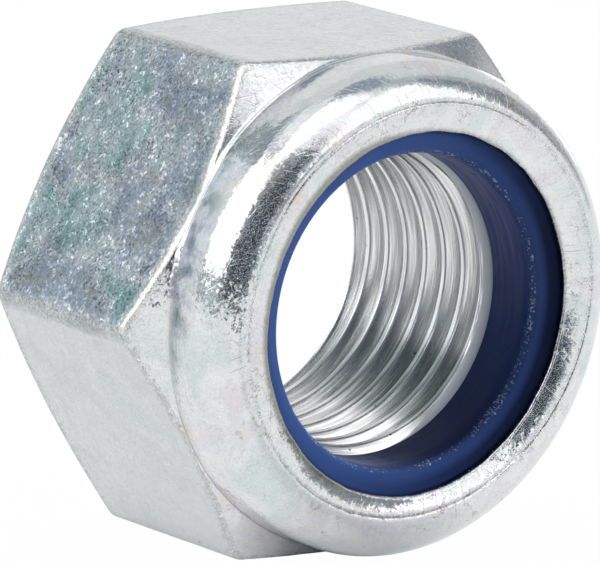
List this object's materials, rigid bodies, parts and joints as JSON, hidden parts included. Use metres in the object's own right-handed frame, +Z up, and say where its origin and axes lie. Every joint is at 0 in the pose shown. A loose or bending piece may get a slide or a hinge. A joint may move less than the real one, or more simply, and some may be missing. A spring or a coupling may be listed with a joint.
{
  "type": "nylon insert lock nut",
  "caption": "Hexagonal prevailing torque nut with a metric fine thread and a blue nylon ring held in a round collar with a rolled lip.",
  "frame": {"origin": "centre of the bearing face, on the thread axis", "axes": "+Y along the thread axis, out of the bearing face; the collar with the nylon ring points to -Y; +Z up, square to the flat that is on top"},
  "size_m": [0.0276, 0.016, 0.024],
  "materials": {
    "zinc_plated_steel": "bright zinc plated steel, cold formed flats with a fine spangle and small scuffs, turned collar and thread",
    "blue_nylon": "moulded blue nylon with a soft shine and small white scuffs at the mouth"
  },
  "bodies": {
    "root": {"nut_body": "zinc_plated_steel", "nylon_ring": "blue_nylon"}
  },
  "joints": []
}
